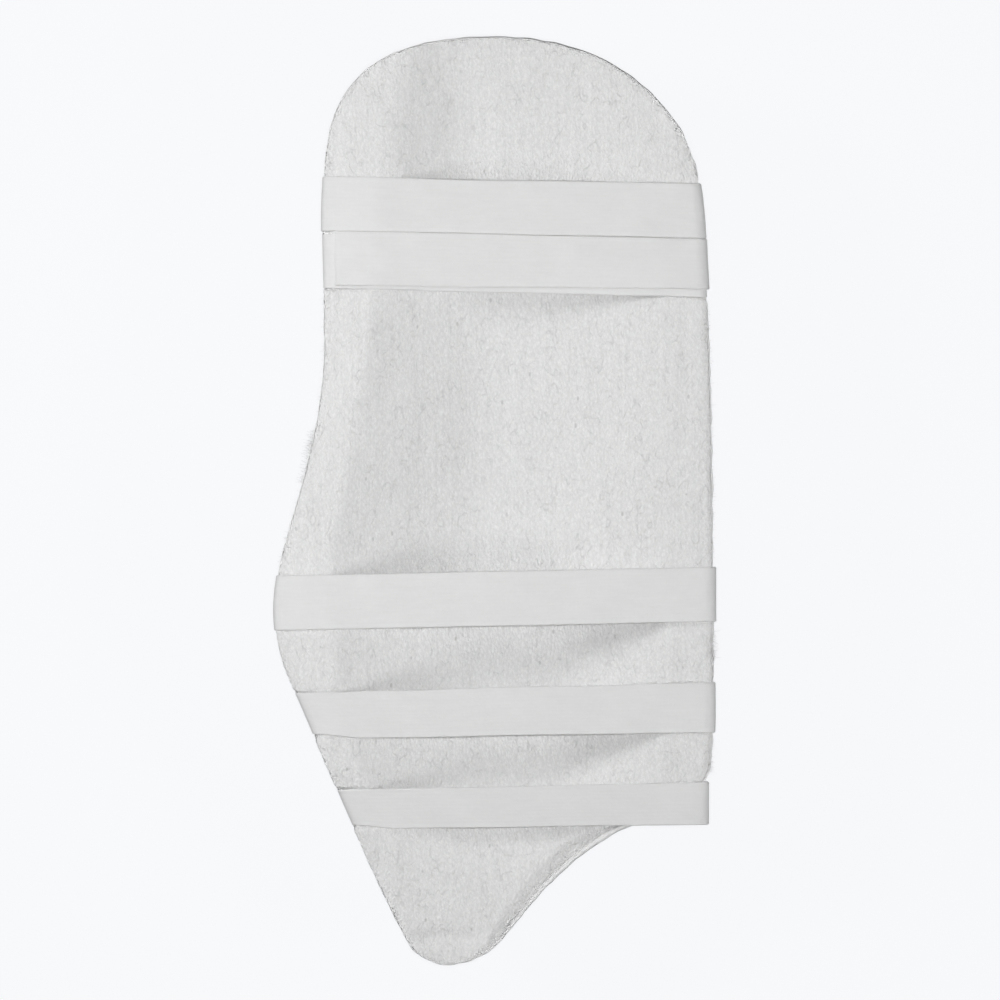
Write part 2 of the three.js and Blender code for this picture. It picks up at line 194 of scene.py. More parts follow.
def outlineLoop(steps):
    # cubic spans between the stations, each handle a third of the chord opened out for the turn;
    # columns: x, y, way out x, way out y, rolled edge, distance run, drop of the border
    _, x, y, heading, roll, drop = zip(*padForm["stations"])
    angle = np.radians(np.array(heading, float))
    turn = (np.roll(angle, -1) - angle + np.pi) % (2 * np.pi) - np.pi
    start = np.stack([x, y], 1).astype(float)
    end = np.roll(start, -1, 0)
    way = np.stack([np.cos(angle), np.sin(angle)], 1)
    reach = np.linalg.norm(end - start, axis=1) / (3 * np.cos(turn / 4) ** 2)
    first = start + way * reach[:, None]
    second = end - np.roll(way, -1, 0) * reach[:, None]
    t = (np.arange(steps) / steps)[None, :, None]
    a, b, c, d = (p[:, None] for p in (start, first, second, end))
    point = (1 - t) ** 3 * a + 3 * (1 - t) ** 2 * t * b + 3 * (1 - t) * t**2 * c + t**3 * d
    ahead = unit((1 - t) ** 2 * (b - a) + 2 * (1 - t) * t * (c - b) + t**2 * (d - c))
    edges = np.array([roll, drop], float)[:, :, None]
    rolled, dropped = blend(edges, np.roll(edges, -1, 1), t[..., 0])
    columns = [point[..., 0], point[..., 1], -ahead[..., 1], ahead[..., 0], rolled, dropped]
    loop = np.stack(columns, -1).reshape(-1, len(columns))
    return np.column_stack([loop[:, :-1], runAlong(loop), loop[:, -1]])


outline = outlineLoop(padForm["spanSteps"])
rollColumn, runColumn, dropColumn = 4, 5, 6


def stretch(fromName, toName, shares):
    # points at given shares of the way along the outline, clockwise from one station to another
    names = [s[0] for s in padForm["stations"]]
    first, last = (names.index(n) * padForm["spanSteps"] for n in (fromName, toName))
    points = outline[(first + np.arange((last - first) % len(outline) + 1)) % len(outline)]
    run = runAlong(points)
    return np.stack([np.interp(shares * run[-1], run, column) for column in points.T], 1)


def gridSides(across, along):
    # the four sides of a grid over the pad: bottom, right, top, left
    return (
        stretch("rightCorner", "toeLeft", 1 - across),
        stretch("rightTemple", "rightCorner", 1 - along),
        stretch("leftTemple", "rightTemple", across),
        stretch("toeLeft", "leftTemple", along),
    )


def fillGrid(sides, across, along, inset):
    # the drawn-in sides blended both ways, less the blend of the four corners
    b, r, t, l = (s[:, :2] - s[:, 2:4] * (inset(s) * np.ones(len(s)))[:, None] for s in sides)
    u = across[None, :, None]
    v = along[:, None, None]
    corners = blend(blend(b[0], b[-1], u), blend(t[0], t[-1], u), v)
    return blend(b[None], t[None], v) + blend(l[:, None], r[:, None], u) - corners


def sectionValue(y, column):
    # cubic through one column of the section table, with tangents that never overshoot
    table = np.array(padForm["sections"], float)
    rows, value = table[:, 0], table[:, column]
    slope = np.diff(value) / np.diff(rows)
    product = slope[:-1] * slope[1:]
    total = np.where(product > 0, slope[:-1] + slope[1:], 1)
    tangent = np.concatenate([slope[:1], np.where(product > 0, 2 * product / total, 0), slope[-1:]])
    k = np.clip(np.searchsorted(rows, y) - 1, 0, len(rows) - 2)
    gap = rows[k + 1] - rows[k]
    t = np.clip((y - rows[k]) / gap, 0, 1)
    low = (1 + 2 * t) * (1 - t) ** 2 * value[k] + t * (1 - t) ** 2 * gap * tangent[k]
    return low + t**2 * (3 - 2 * t) * value[k + 1] + t**2 * (t - 1) * gap * tangent[k + 1]


floorColumn = 1
wallColumns = (2, 5)  # rim height of each wall; its fold and its foot are in the next two columns


def faceHeight(x, y):
    # towelling face: a flat floor, a wall each side that is a parabola from its foot and then straight,
    # and a border past each fold, level on the right and falling away a little on the left
    floor = sectionValue(y, floorColumn)
    height = floor
    dome = padForm["domeFold"] * easeStep(*padForm["domeRun"], y)
    roundings = (padForm["softFold"][0] + dome, padForm["softFold"][1])
    for first, curve, rounding in zip(wallColumns, padForm["wallCurve"], roundings):
        rim, fold, foot = (sectionValue(y, first + k) for k in range(3))
        way = np.maximum(0, (x - foot) / (fold - foot))
        rise = np.minimum(way, curve) ** 2 + 2 * curve * np.maximum(way - curve, 0)
        rise = rise / (2 * curve - curve**2)
        h = np.clip(0.5 + (1 - rise) / (2 * rounding), 0, 1)
        height = height + (rim - floor) * (blend(1, rise, h) - rounding * h * (1 - h))
    drop, run, most = padForm["borderFall"]
    pastFold = np.clip((sectionValue(y, wallColumns[0] + 1) - x) / run, 0, most)
    return height - drop * pastFold**2


def edgeFall(drop, inside):
    # how far the towelling turns down near its border, as a quarter round
    away = 1 - np.clip(inside / padForm["edgeRun"], padForm["edgeStart"], 1)
    return drop * (1 - np.sqrt(1 - away**2))


def gutterFall(x, y, inside):
    # how far the towelling drops beside the raised edge along the lobe's right side
    drop, run = padForm["gutter"]
    lobe = easeStep(*padForm["gutterAcross"], x) * (1 - easeStep(*padForm["gutterUp"], y))
    return drop * lobe * (1 - np.clip(inside / run, 0, 1)) ** 2


def nearestEdge(x, y, atOnce=2000):
    # the nearest point of the outline and how far away it is, tested for a batch of points at once
    flat = np.stack([np.ravel(x), np.ravel(y)], 1)
    found = []
    for part in np.array_split(flat, 1 + len(flat) // atOnce):
        away = np.hypot(part[:, :1] - outline[:, 0], part[:, 1:] - outline[:, 1])
        found.append(np.column_stack([away.argmin(1), away.min(1)]))
    found = np.concatenate(found)
    return found[:, 0].astype(int).reshape(np.shape(x)), found[:, 1].reshape(np.shape(x))


def backHeight(x, y):
    # outer face: the towelling face less the padding, which thins to the edge; flat on the floor
    thin = 1 - np.clip((nearestEdge(x, y)[1] - padForm["rollDepth"]) / padForm["rimRun"], 0, 1)
    thickness = blend(padForm["padThickness"], padForm["rimThickness"], thin**2)
    return np.maximum(0, faceHeight(x, y) - thickness)


def rollAt(angle, roll, top, bottom, offset, squareness=1):
    # inset and height round the rolled edge: a quarter ellipse, or a squarer curve, above the widest point
    # and a quarter ellipse below
    above = angle <= np.pi / 2
    reach = np.where(above, roll, padForm["rollDepth"])
    power = np.where(above, squareness, 1)
    half = (top - bottom) / 2 + np.where(above, offset, padForm["underSlant"] * offset)
    along = np.abs(np.sin(angle)) ** power
    up = np.sign(np.cos(angle)) * np.abs(np.cos(angle)) ** power
    return reach - (reach + offset) * along, (top + bottom) / 2 + half * up


railPoints = 900
leftRail = stretch("toeLeft", "leftTemple", np.linspace(0, 1, railPoints))
rightRail = stretch("rightTemple", "rightCorner", np.linspace(1, 0, railPoints))


def sideAt(y, side):
    # where a level line meets the pad's side: x, way out, rounding of a strap's fold
    rail = leftRail if side == "left" else rightRail
    reach = np.full(np.shape(y), strapForm["foldReach"][side])
    return [np.interp(y, rail[:, 1], rail[:, 0]), np.interp(y, rail[:, 1], rail[:, 2]), reach]


def strapsNear(x, y, reach):
    # for every strap: its settings, the share of the way across, 1 within it and 1 at the pad's sides
    low, high = strapForm["sides"]
    share = np.clip((x - low) / (high - low), 0, 1)
    near = 1 - easeStep(*reach["left"], x) + easeStep(*reach["right"], x)
    inner, outer = reach["edge"]
    for band in strapForm["bands"]:
        left, right = band["left"], band["right"]
        half = blend(left["width"], right["width"], share) / 2
        away = np.abs(y - blend(left["y"], right["y"], share))
        yield band, share, 1 - easeStep(half + inner, half + outer, away), near


def strapDent(x, y):
    # depth pressed into the pad: a soft-edged band along each strap, only near the pad's two sides
    dent = np.zeros(np.broadcast(x, y).shape)
    for band, share, within, near in strapsNear(x, y, strapForm["dent"]):
        press = blend(band["left"]["press"], band["right"]["press"], share) + strapForm["dentExtra"]
        dent = np.maximum(dent, press * within * near)
    return dent


def strapCover(x, y):
    # 1 under a strap near the pad's sides, 0 away from it
    cover = np.zeros(np.broadcast(x, y).shape)
    for _, _, within, near in strapsNear(x, y, strapForm["hold"]):
        cover = np.maximum(cover, near * within)
    return cover


# material nodes
def setInputs(tree, node, inputs):
    for key, value in inputs.items():
        if isinstance(value, bpy.types.NodeSocket):
            tree.links.new(value, node.inputs[key])
        else:
            node.inputs[key].default_value = value


def addNode(tree, kind, options, inputs):
    node = tree.nodes.new("ShaderNode" + kind)
    for key, value in options.items():
        setattr(node, key, value)
    setInputs(tree, node, inputs)
    return node.outputs


def newMaterial(name, inputs):
    material = bpy.data.materials.new(name)
    material.use_nodes = True
    tree = material.node_tree
    shader = tree.nodes["Principled BSDF"]
    setInputs(tree, shader, inputs)
    return material, tree, shader


def calc(tree, operation, a, b=0.0):
    return addNode(tree, "Math", {"operation": operation}, {0: a, 1: b})[0]


def ripple(tree, value, count):
    # a sine with a given number of waves per metre
    fullTurn = 6.283
    return calc(tree, "SINE", calc(tree, "MULTIPLY", value, count * fullTurn))


def weigh(tree, parts, weights, total=0.0, clamp=False):
    # a start value plus each part times its weight, kept from 0 to 1 at the end if asked
    for number, (name, weight) in enumerate(weights.items(), 1):
        options = {"operation": "MULTIPLY_ADD", "use_clamp": clamp and number == len(weights)}
        total = addNode(tree, "Math", options, {0: parts[name], 1: weight, 2: total})[0]
    return total


def ramp(tree, value, low, high, toLow, toHigh):
    inputs = {"Value": value, "From Min": low, "From Max": high, "To Min": toLow, "To Max": toHigh}
    return addNode(tree, "MapRange", {"clamp": True}, inputs)["Result"]


def objectPlace(tree, scale):
    # Object coordinates in metres, stretched by a scale along each axis
    place = addNode(tree, "TexCoord", {}, {})["Object"]
    return addNode(tree, "Mapping", {}, {"Vector": place, "Scale": scale})["Vector"]


def noises(tree, look, places):
    made = {}
    for name, (where, scale, detail, roughness) in look["noises"].items():
        inputs = {"Vector": places[where], "Scale": scale, "Detail": detail, "Roughness": roughness}
        made[name] = addNode(tree, "TexNoise", {}, inputs)["Fac"]
    return made


def dress(tree, shader, parts, look):
    # colour between two shades, and bump, each from the weighted parts of the cloth; the colours of a mix
    # node are its inputs 6 and 7 and its output 2
    shade = weigh(tree, parts, look["shade"], look["shadeStart"], True)
    shades = {0: shade, 6: (*look["dark"], 1), 7: (*look["light"], 1)}
    colour = addNode(tree, "Mix", {"data_type": "RGBA"}, shades)[2]
    strength, depth = look["bump"]
    relief = {"Height": weigh(tree, parts, look["height"]), "Strength": strength, "Distance": depth}
    normal = addNode(tree, "Bump", {}, relief)["Normal"]
    setInputs(tree, shader, {"Base Color": colour, "Normal": normal, "Specular IOR Level": clothShine})


# in each look: noises are where each lies, its cells per metre, detail and roughness; height and shade are
# the weights of the parts; bump is its strength and its depth in metres
clothShine = 0.25
terryLook = {
    "dark": (0.555, 0.555, 0.555),  # darkest tone, given to the gaps between the loops and to the partings as painted shade
    "light": (0.835, 0.835, 0.835),
    "surface": {"Roughness": 0.95, "Sheen Weight": 0.2, "Sheen Roughness": 0.5},
    "loops": 980,  # per metre
    "loopLength": 0.56,  # loops are a little longer up the pad than across it
    "loopRound": (0.1, 0.7),  # distance over which a loop falls away, in loops
    "loopSoftness": 0.25,
    "push": (260, 2, 0.0016),  # noise that pushes the loops about: cells per metre, detail, most in metres
    "columnLength": 0.035,  # columns are drawn out up the pad
    "partingWidth": 0.03,
    "partingBreaks": (0.45, 0.56),  # noise over which a parting comes in
    "specks": 150,  # cells per metre
    "speckSize": (0.06, 0.11),
    "speckChoice": (0.5, 0.54),  # which cells have a speck
    "noises": {
        "fibre": ("pushed", 2300, 2, 0.6),
        "columns": ("drawnOut", 420, 2, 0.5),
        "cloud": ("plain", 38, 3, 0.5),
        "tuft": ("pushed", 640, 1, 0.5),
        "curl": ("plain", 210, 1, 0.5),
        "broken": ("plain", 130, 1, 0.5),
    },
    "height": {"rounded": 1, "fibre": 0.8, "columns": 0.5, "parting": -0.9},
    # rounded and parting paint the gaps between the loops and the partings darker: painted shade; the other
    # parts are the cloth's own uneven tone
    "shade": {"rounded": 0.3, "fibre": 0.8, "columns": 0.3, "cloud": 0.12, "tuft": 0.3, "parting": -0.26,
              "speck": -0.6},
    "shadeStart": -0.166,
    "bump": (0.5, 0.0009),
}


def terryMaterial():
    # pile loops: rounded cells pushed about by noise, with fine fibre, soft tufts, short curling partings,
    # faint columns up the pad and a few dark specks; the gaps between the loops and the partings are also
    # painted darker, as painted shade
    material, tree, shader = newMaterial("terry", terryLook["surface"])
    place = objectPlace(tree, (1, terryLook["loopLength"], 1))
    scale, detail, most = terryLook["push"]
    shift = addNode(tree, "TexNoise", {}, {"Vector": place, "Scale": scale, "Detail": detail})["Color"]
    push = {0: shift, 1: (most, most, most), 2: place}
    pushed = addNode(tree, "VectorMath", {"operation": "MULTIPLY_ADD"}, push)[0]
    drawnOut = objectPlace(tree, (1, terryLook["columnLength"], 1))
    parts = noises(tree, terryLook, {"plain": place, "pushed": pushed, "drawnOut": drawnOut})
    cell = {"Vector": pushed, "Scale": terryLook["loops"], "Smoothness": terryLook["loopSoftness"]}
    cells = addNode(tree, "TexVoronoi", {"feature": "SMOOTH_F1"}, cell)["Distance"]
    # rounded is 1 on a loop and 0 between loops; through the shade it paints the gaps darker: painted shade
    parts["rounded"] = ramp(tree, cells, *terryLook["loopRound"], 1, 0)
    # the partings are lowered in the bump and, through the shade, painted darker: painted shade
    curl = calc(tree, "ABSOLUTE", calc(tree, "SUBTRACT", parts["curl"], 0.5))
    line = ramp(tree, curl, 0, terryLook["partingWidth"], 1, 0)
    broken = ramp(tree, parts["broken"], *terryLook["partingBreaks"], 0, 1)
    parts["parting"] = calc(tree, "MULTIPLY", line, broken)
    spots = addNode(tree, "TexVoronoi", {"feature": "F1"}, {"Vector": place, "Scale": terryLook["specks"]})
    spot = ramp(tree, spots["Distance"], *terryLook["speckSize"], 1, 0)
    chosen = ramp(tree, spots["Color"], *terryLook["speckChoice"], 0, 1)
    parts["speck"] = calc(tree, "MULTIPLY", spot, chosen)
    dress(tree, shader, parts, terryLook)
    return material


coverLook = {
    "dark": (0.7, 0.7, 0.7),
    "light": (0.82, 0.82, 0.82),
    "surface": {"Roughness": 0.78, "Sheen Weight": 0.18, "Sheen Roughness": 0.4},
    "threads": 1500,  # per metre, both ways
    "slubLength": 0.3,  # slubs are drawn out up the pad
    "noises": {"slub": ("drawnOut", 420, 3, 0.5), "cloud": ("plain", 45, 3, 0.5)},
    "height": {"weave": 0.4, "slub": 1},
    "shade": {"cloud": 0.75, "slub": 0.45},
    "shadeStart": 0,
    "bump": (0.35, 0.0002),
}


def coverMaterial():
    # close plain weave: crossed thread waves on Object coordinates, with faint slubs and uneven dye
    material, tree, shader = newMaterial("coverCloth", coverLook["surface"])
    place = objectPlace(tree, (1, 1, 1))
    drawnOut = objectPlace(tree, (1, coverLook["slubLength"], 1))
    parts = noises(tree, coverLook, {"plain": place, "drawnOut": drawnOut})
    axes = addNode(tree, "SeparateXYZ", {}, {0: place})
    sideways = ripple(tree, calc(tree, "ADD", axes[0], axes[2]), coverLook["threads"])
    parts["weave"] = calc(tree, "MULTIPLY", sideways, ripple(tree, axes[1], coverLook["threads"]))
    dress(tree, shader, parts, coverLook)
    return material


elasticLook = {
    "dark": (0.64, 0.64, 0.64),
    "light": (0.745, 0.745, 0.745),
    "surface": {"Roughness": 0.72, "Sheen Weight": 0.12, "Sheen Roughness": 0.4},
    "ribs": 620,  # lengthwise ribs per metre of width
    "picks": 1700,  # crosswise threads per metre of length
    "streakLength": 0.22,  # streaks are drawn out along the strap
    "noises": {
        "streak": ("drawnOut", 430, 2, 0.5),
        "grain": ("plain", 560, 2, 0.5),
        "cloud": ("plain", 60, 2, 0.5),
    },
    "height": {"ribs": 0.14, "picks": 0.1, "streak": 0.7, "grain": 0.7},
    "shade": {"streak": 0.4, "cloud": 0.5, "grain": 0.3, "ribs": 0.025},
    "shadeStart": 0,
    "bump": (0.4, 0.00016),
}


def elasticMaterial():
    # woven elastic: rounded ribs along the strap crossed by fine threads, placed by the weave attribute
    material, tree, shader = newMaterial("wovenElastic", elasticLook["surface"])
    place = addNode(tree, "Attribute", {"attribute_name": "weave"}, {})["Vector"]
    axes = addNode(tree, "SeparateXYZ", {}, {0: place})
    drawn = {0: place, 1: (elasticLook["streakLength"], 1, 1)}
    drawnOut = addNode(tree, "VectorMath", {"operation": "MULTIPLY"}, drawn)[0]
    parts = noises(tree, elasticLook, {"plain": place, "drawnOut": drawnOut})
    parts["ribs"] = ripple(tree, axes[1], elasticLook["ribs"])
    parts["picks"] = ripple(tree, axes[0], elasticLook["picks"])
    dress(tree, shader, parts, elasticLook)
    return material


threadLook = {
    "dark": (0.7, 0.7, 0.7),
    "light": (0.82, 0.82, 0.82),
    "surface": {"Roughness": 0.65, "Sheen Weight": 0.1, "Sheen Roughness": 0.4},
    "noises": {"ply": ("plain", 1400, 2, 0.5)},
    "height": {"ply": 1},
    "shade": {"ply": 1},
    "shadeStart": 0,
    "bump": (0.4, 0.0001),
}


def threadMaterial():
    # sewing thread: fine uneven ply, as a change of shade and height
    material, tree, shader = newMaterial("sewingThread", threadLook["surface"])
    parts = noises(tree, threadLook, {"plain": objectPlace(tree, (1, 1, 1))})
    dress(tree, shader, parts, threadLook)
    return material


terry = terryMaterial()
coverCloth = coverMaterial()
wovenElastic = elasticMaterial()
sewingThread = threadMaterial()
print("materials made")


def inMetres(points):
    return (points * mm).astype(np.float32).ravel()


def numbered(points, start=0):
    # vertex numbers in the shape of an array of points
    return start + np.arange(points[..., 0].size).reshape(points.shape[:-1])


def makePiece(name, points, quads, material):
    # a smooth mesh in metres from points in mm and four-cornered faces, its object at the origin
    mesh = bpy.data.meshes.new(name)
    mesh.vertices.add(len(points))
    mesh.vertices.foreach_set("co", inMetres(points))
    mesh.loops.add(quads.size)
    mesh.loops.foreach_set("vertex_index", quads.astype(np.int32).ravel())
    mesh.polygons.add(len(quads))
    mesh.polygons.foreach_set("loop_start", np.arange(0, quads.size, 4, dtype=np.int32))
    mesh.polygons.foreach_set("use_smooth", np.ones(len(quads), bool))
    mesh.update(calc_edges=True)
    mesh.validate()
    mesh.materials.append(material)
    piece = bpy.data.objects.new(name, mesh)
    bpy.context.scene.collection.objects.link(piece)
    return piece


def gridQuads(index):
    # faces of a grid of vertex numbers, facing up when rows run up and columns run right
    a, b, c, d = index[:-1, :-1], index[:-1, 1:], index[1:, 1:], index[1:, :-1]
    return np.stack([a, b, c, d], -1).reshape(-1, 4)


def borderOf(index):
    # a grid's border as one anticlockwise loop
    return np.concatenate([index[0, :-1], index[:-1, -1], index[-1, :0:-1], index[:0:-1, 0]])


# padded cover
coverForm = {
    "columns": 60,
    "rows": 120,
    "ringSteps": 12,  # round the rolled edge
    "seatDrop": 2.9,  # seat below the towelling face
    "startInset": 0.8,  # the outer face starts this much small, and the padding swells it
    "startTurn": (1.7, 2.6),  # angles round the rolled edge over which that comes in
    "heldSteps": 7,  # loops of the rolled edge that the foam's firm edge holds in place
    "pressure": 4.0,
    "slack": -0.012,  # spare cloth, as a share of its length
    "frames": 20,
    "cap": 2.4,  # most that the cloth may move
    "gather": (0.22, 7, 3),  # height, wavelength and seed of the gathers along the rolled edge
    "gatherRun": (4, 16),  # distance from the edge over which they die away
}


def coverShape():
    # the seat, the rolled edge as loops of quarter ellipses and the outer face, each from its formula
    across = np.linspace(0, 1, coverForm["columns"] + 1)
    along = np.linspace(0, 1, coverForm["rows"] + 1)
    sides = gridSides(across, along)
    bottom, right, top, left = sides
    rim = np.concatenate([bottom[:-1], right[:-1], top[:0:-1], left[:0:-1]])
    place, wayOut, roll = rim[:, :2], rim[:, 2:4], rim[:, rollColumn]
    x, y = np.moveaxis(fillGrid(sides, across, along, lambda s: s[:, rollColumn]), -1, 0)
    edge, depth = nearestEdge(x, y)
    inside = depth - outline[edge, rollColumn]
    fall = edgeFall(outline[edge, dropColumn], inside) + gutterFall(x, y, inside)
    seat = np.dstack([x, y, faceHeight(x, y) - coverForm["seatDrop"] - strapDent(x, y) - fall])
    x, y = np.moveaxis(fillGrid(sides, across, along, lambda s: padForm["rollDepth"]), -1, 0)
    lift = padForm["underSlant"] * strapDent(x, y) + coverForm["startInset"]
    outer = np.dstack([x, y, backHeight(x, y) + lift])
    inner = place - wayOut * roll[:, None]
    under = place - wayOut * padForm["rollDepth"]
    tops = faceHeight(*inner.T) - padForm["rollDrop"] - rim[:, dropColumn]
    bottoms = backHeight(*under.T)
    angles = np.linspace(0, np.pi, coverForm["ringSteps"] + 1)[:-1, None]
    small = coverForm["startInset"] * easeStep(*coverForm["startTurn"], angles)
    dent = strapDent(*place.T) + small
    inset, z = rollAt(angles, roll, tops, bottoms, -dent, padForm["squareness"])
    loops = np.dstack([place[None] - wayOut[None] * inset[..., None], z])
    return seat, loops, outer


def coverFaces(seat, loops, outer):
    seatIndex = numbered(seat)
    loopIndex = numbered(loops, seatIndex.size)
    outerIndex = numbered(outer, seatIndex.size + loopIndex.size)
    rings = np.vstack([borderOf(seatIndex)[None], loopIndex, borderOf(outerIndex)[None]])
    ringNext = np.roll(rings, -1, 1)
    wall = np.stack([rings[:-1], rings[1:], ringNext[1:], ringNext[:-1]], -1).reshape(-1, 4)
    return np.vstack([gridQuads(seatIndex), wall, gridQuads(outerIndex)[:, ::-1]])


def swell(piece, pinned, form):
    # cloth under pressure from inside, held at its sewn seat; returns where every point ends up, in mm
    scene = bpy.context.scene
    piece.vertex_groups.new(name="sewn").add(pinned.tolist(), 1.0, "REPLACE")
    cloth = piece.modifiers.new("padding", "CLOTH")
    cloth.settings.vertex_group_mass = "sewn"
    cloth.settings.use_pressure = True
    cloth.settings.uniform_pressure_force = form["pressure"]
    cloth.settings.effector_weights.gravity = 0
    cloth.settings.shrink_min = form["slack"]
    cloth.collision_settings.use_collision = False
    for number in range(1, form["frames"] + 1):
        scene.frame_set(number)
    solved = piece.evaluated_get(bpy.context.evaluated_depsgraph_get()).data
    places = np.empty(len(solved.vertices) * 3, np.float32)
    solved.vertices.foreach_get("co", places)
    piece.modifiers.remove(cloth)
    piece.vertex_groups.clear()
    scene.frame_set(1)
    return places.reshape(-1, 3).astype(float) / mm


seat, loops, outer = coverShape()
coverPoints = np.vstack([part.reshape(-1, 3) for part in (seat, loops, outer)])
cover = makePiece("paddedCover", coverPoints, coverFaces(seat, loops, outer), coverCloth)
sewnCount = seat[..., 0].size + loops.shape[1]  # the seat and the seam loop
heldCount = seat[..., 0].size + loops.shape[1] * coverForm["heldSteps"]
swollen = swell(cover, np.arange(heldCount), coverForm)
move = swollen - coverPoints
size = np.linalg.norm(move, axis=1, keepdims=True)
print("cover swells by", round(float(size.max()), 2), "mm at most before the cap")
move *= coverForm["cap"] * np.tanh(size / coverForm["cap"]) / np.maximum(size, 1e-6)
held = 1 - strapCover(*coverPoints[:, :2].T)
coverPoints = coverPoints + move * held[:, None]
height, wave, seed = coverForm["gather"]
ruffle = height * rumple(*coverPoints[:, :2].T, wave, seed)
edgeDepth = nearestEdge(*coverPoints[:, :2].T)[1]
free = np.arange(len(coverPoints)) >= sewnCount
ruffle *= (1 - easeStep(*coverForm["gatherRun"], edgeDepth)) * free
mesh = cover.data
mesh.vertices.foreach_set("co", inMetres(coverPoints))
mesh.update()
normals = np.empty(len(coverPoints) * 3, np.float32)
mesh.vertices.foreach_get("normal", normals)
coverPoints = coverPoints + ruffle[:, None] * normals.reshape(-1, 3)
coverPoints[:, 2] = np.maximum(coverPoints[:, 2], 0)  # flat where it lies on the floor
mesh.vertices.foreach_set("co", inMetres(coverPoints))
mesh.update()
finer = cover.modifiers.new("finer", "SUBSURF")
finer.levels = finer.render_levels = 1
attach(cover, "root")
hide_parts("padded_cover")
print("cover:", len(coverPoints), "points")

# towelling lining
liningForm = {
    "columns": 208,
    "rows": 416,
    "crowd": 0.3,  # how much closer the rows lie at the border
    "inset": 0.05,  # border inside the rolled edge
    "waves": [(52, 0.15, 11), (19, 0.06, 12), (8, 0.02, 13), (3.4, 0.011, 14)],  # wavelength, height, seed
    "calm": 0.4,  # share of the waves left in the middle of the trough
    "calmRun": ((-150, -110), (90, 130)),  # y over which the middle begins and ends
    "strapCalm": 0.75,  # share of the waves that a strap presses flat
    "pucker": (0.12, 9, 21, 6),  # gathers by the seam: height, wavelength, seed and reach
    "toeCrease": {"depth": 1.4, "x": -21, "y": -199.5, "width": 3.5, "fade": (10, 19)},  # across the toe
    "drawnIn": (2, 12),  # distance from the border over which a strap draws the towelling in
    "flatSize": (0.212, 0.43),
    "flatArea": 0.0705,
}


def crowded(count, crowd):
    # shares from 0 to 1 that lie closer together at both ends
    t = np.linspace(0, 1, count + 1)
    return t - crowd * np.sin(2 * np.pi * t) / (2 * np.pi)


def liningShape():
    # the face height with soft waves, dents under the straps, gathers along the seam, a turned-down border
    # and a crease across the toe
    across = crowded(liningForm["columns"], liningForm["crowd"])
    along = crowded(liningForm["rows"], liningForm["crowd"])
    sides = gridSides(across, along)
    place = fillGrid(sides, across, along, lambda s: s[:, rollColumn] + liningForm["inset"])
    x, y = place[..., 0], place[..., 1]
    edge, depth = nearestEdge(x, y)
    inside = depth - outline[edge, rollColumn] - liningForm["inset"]
    dent = strapDent(x, y)
    soft = sum(height * rumple(x, y, wave, seed) for wave, height, seed in liningForm["waves"])
    soft *= 1 - liningForm["strapCalm"] * strapCover(x, y)
    begins, ends = liningForm["calmRun"]
    middle = easeStep(*begins, y) * (1 - easeStep(*ends, y))
    soft *= 1 - (1 - liningForm["calm"]) * middle
    run = outline[edge, runColumn]
    height, wave, seed, reach = liningForm["pucker"]
    pucker = height * rumple(run, 0 * run, wave, seed) * np.exp(-np.maximum(inside, 0) / reach)
    z = faceHeight(x, y) + soft + pucker - dent
    z -= edgeFall(outline[edge, dropColumn], inside) + gutterFall(x, y, inside)
    crease = liningForm["toeCrease"]
    hollow = np.exp(-(((y - crease["y"]) / crease["width"]) ** 2))
    z -= crease["depth"] * hollow * (1 - easeStep(*crease["fade"], np.abs(x - crease["x"])))
    inward = dent * (1 - easeStep(*liningForm["drawnIn"], inside))
    x = x - outline[edge, 2] * inward
    y = y - outline[edge, 3] * inward
    return np.dstack([x, y, z])


liningPoints = liningShape()
liningIndex = numbered(liningPoints)
lining = makePiece("towelLining", liningPoints.reshape(-1, 3), gridQuads(liningIndex), terry)
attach(lining, "root")
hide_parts("towel_lining")
print("lining:", liningIndex.size, "points")


